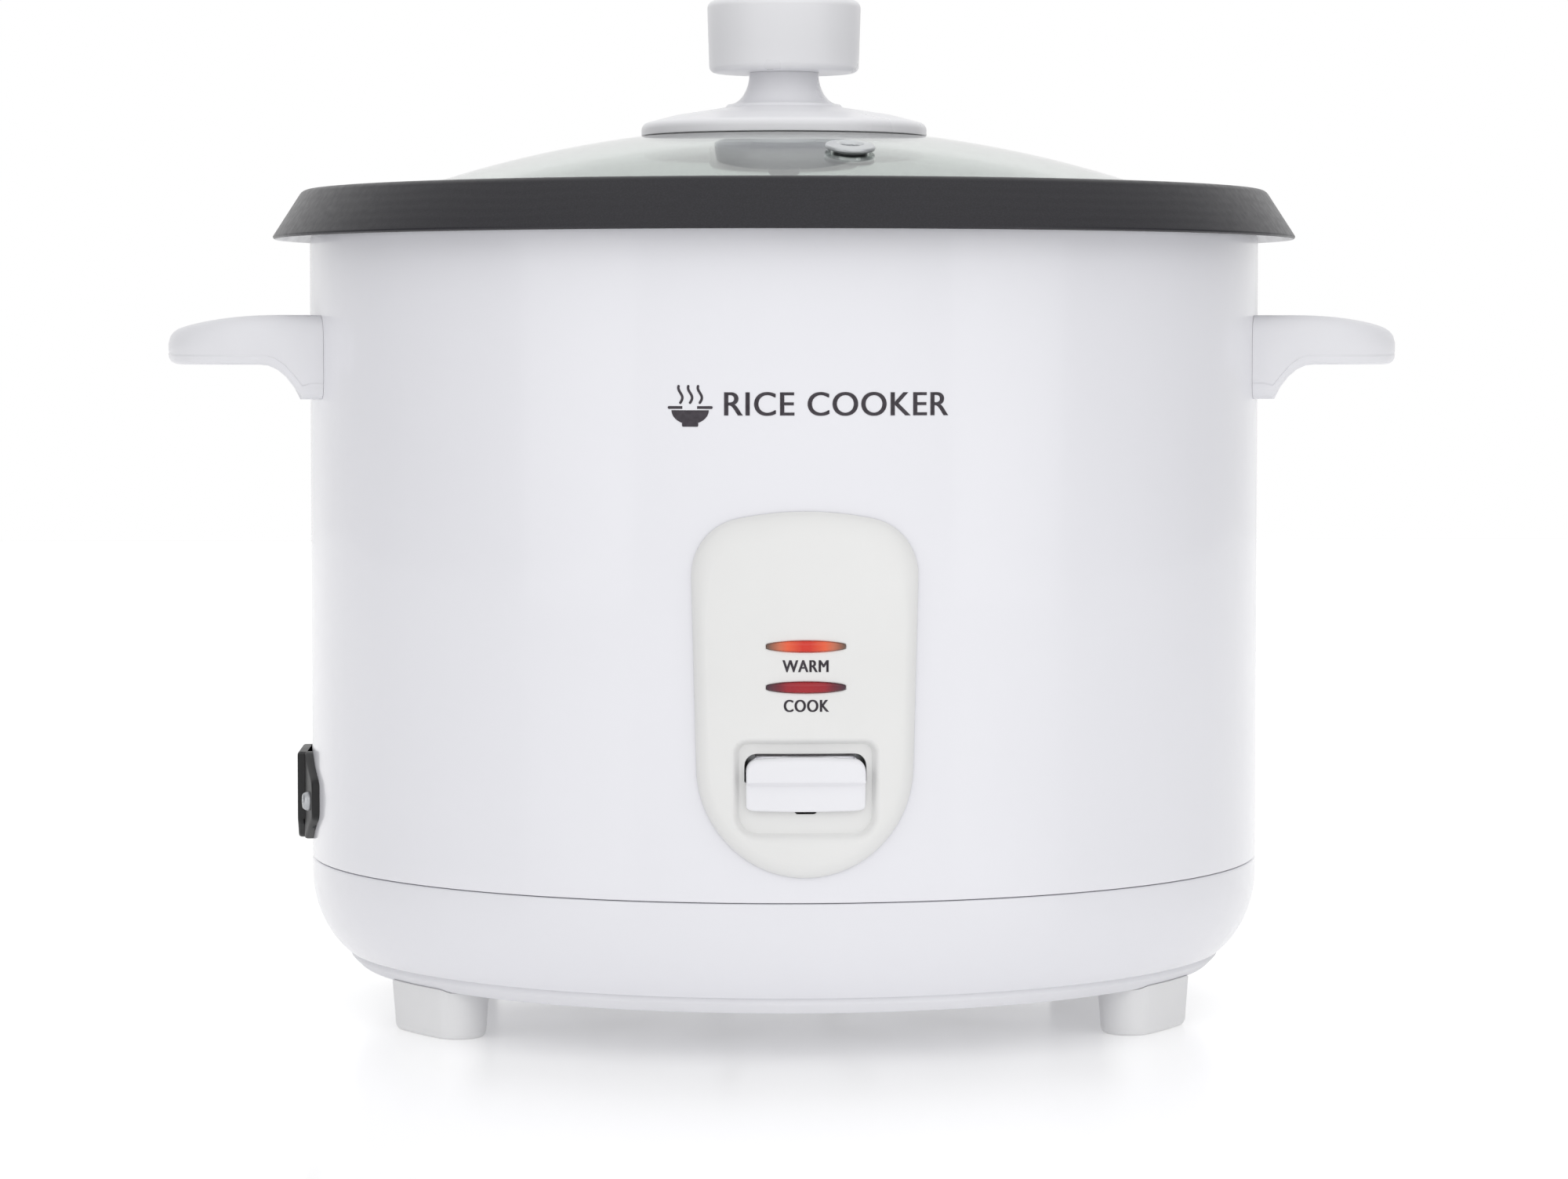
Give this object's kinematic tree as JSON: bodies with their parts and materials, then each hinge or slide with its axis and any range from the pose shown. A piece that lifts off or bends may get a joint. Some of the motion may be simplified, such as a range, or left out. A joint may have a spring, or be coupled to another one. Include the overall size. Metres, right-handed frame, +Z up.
{
  "type": "rice cooker",
  "caption": "Drum-style electric rice cooker with glass lid, lift-out non-stick pot, one lever switch, two shelf handles and a side appliance inlet.",
  "frame": {"origin": "on the floor, under the centre of the drum", "axes": "+Z up through the lid knob, -Y is the front with the control panel, +X to the right; the inlet faces -X"},
  "size_m": [0.3272, 0.2714, 0.2677],
  "materials": {
    "painted_drum": "glossy white baked enamel",
    "painted_bowl": "glossy white baked enamel",
    "inner_casing": "plain sheet, satin",
    "cover_plastic": "moulded, fine grain",
    "panel_plastic": "moulded white, semi-gloss",
    "warm_lens": "translucent orange",
    "cook_lens": "translucent dark red",
    "ceramic_white": "matte white",
    "lamp_glass": "clear lamp glass",
    "cast_aluminium": "turned casting",
    "element_steel": "heat-stained sheath",
    "mica": "mica sheet",
    "zinc_steel": "zinc-plated pressed sheet",
    "spring_steel": "spring wire",
    "sensor_aluminium": "pressed cap, satin",
    "ferrite": "sintered dark grey",
    "screw_steel": "zinc-plated",
    "black_plastic": "moulded",
    "switch_plastic": "polished white",
    "inlet_plastic": "moulded, fine grain",
    "brass": "bright",
    "wire_sleeve": "woven glass-fibre sleeve",
    "pot_nonstick": "charcoal non-stick coating, satin",
    "lid_glass": "clear tempered glass",
    "rim_steel": "polished stainless steel",
    "knob_plastic": "moulded white, semi-gloss",
    "washer_rubber": "soft grey",
    "handle_plastic": "moulded white, semi-gloss",
    "foot_plastic": "moulded white, satin"
  },
  "bodies": {
    "housing": {"body_shell": "painted_drum", "inner_liner": "inner_casing", "base_bowl": "painted_bowl", "bottom_cover": "cover_plastic", "control_panel": "panel_plastic", "warm_lens": "warm_lens", "cook_lens": "cook_lens", "lamp_holder": "ceramic_white", "warm_lamp": "lamp_glass", "cook_lamp": "lamp_glass", "heating_plate": "cast_aluminium", "heating_element": "element_steel", "keep_warm_heater": "mica", "thermal_fuse": "ceramic_white", "sensor_bracket": "zinc_steel", "sensor_spring": "spring_steel", "release_spring": "spring_steel", "switch_bracket": "zinc_steel", "pivot_pin": "screw_steel", "microswitch_body": "black_plastic", "inlet_housing": "inlet_plastic", "inlet_pin_line": "brass", "inlet_pin_earth": "brass", "inlet_pin_neutral": "brass", "line_wire": "wire_sleeve", "neutral_wire": "wire_sleeve", "right_handle": "handle_plastic", "left_handle": "handle_plastic", "foot_front_right": "foot_plastic", "foot_screw_front_right": "screw_steel", "foot_front_left": "foot_plastic", "foot_screw_front_left": "screw_steel", "foot_rear_left": "foot_plastic", "foot_screw_rear_left": "screw_steel", "foot_rear_right": "foot_plastic", "foot_screw_rear_right": "screw_steel", "right_handle_screw_1": "screw_steel", "right_handle_screw_2": "screw_steel", "left_handle_screw_1": "screw_steel", "left_handle_screw_2": "screw_steel", "plate_screw_1": "screw_steel", "plate_screw_2": "screw_steel", "plate_screw_3": "screw_steel", "inlet_screw_1": "screw_steel", "inlet_screw_2": "screw_steel"},
    "sensor": {"sensor_cap": "sensor_aluminium", "ferrite_disc": "ferrite"},
    "magnet": {"magnet_holder": "zinc_steel", "magnet_disc": "ferrite"},
    "plunger": {"microswitch_plunger": "ceramic_white"},
    "switch": {"switch_lever": "zinc_steel", "switch_cap": "switch_plastic"},
    "pot": {"inner_pot": "pot_nonstick"},
    "lid": {"lid_glass": "lid_glass", "lid_rim_band": "rim_steel", "vent_grommet": "rim_steel", "knob_base": "knob_plastic", "knob_cap": "knob_plastic", "knob_washer": "washer_rubber", "knob_screw": "screw_steel"}
  },
  "joints": [
    {"name": "pot_lift", "type": "slide", "parent": "housing", "child": "pot", "axis": [0, 0, 1], "range_m": [0, 0.2]},
    {"name": "lid_lift", "type": "slide", "parent": "pot", "child": "lid", "axis": [0, 0, 1], "range_m": [0, 0.12]},
    {"name": "switch_press", "type": "hinge", "parent": "housing", "child": "switch", "pos_m": [0, -0.05, 0.046], "axis": [1, 0, 0], "range_deg": [0, 3.67], "stiffness_Nm_per_rad": 0.5, "springref_deg": -2.86},
    {"name": "magnet_lift", "type": "slide", "parent": "housing", "child": "magnet", "axis": [0, 0, 1], "range_m": [0, 0.00321], "deforming": ["release_spring"]},
    {"name": "plunger_press", "type": "slide", "parent": "housing", "child": "plunger", "axis": [0, 0, -1], "range_m": [0, 0.00161]},
    {"name": "sensor_press", "type": "slide", "parent": "housing", "child": "sensor", "axis": [0, 0, 1], "range_m": [-0.001, 0], "stiffness_N_per_m": 800, "springref_m": 0.0015, "deforming": ["sensor_spring"]}
  ],
  "couplings": [
    {"joint": "magnet_lift", "follows": "switch_press", "m_per_rad": 0.05},
    {"joint": "plunger_press", "follows": "switch_press", "m_per_rad": 0.025}
  ]
}
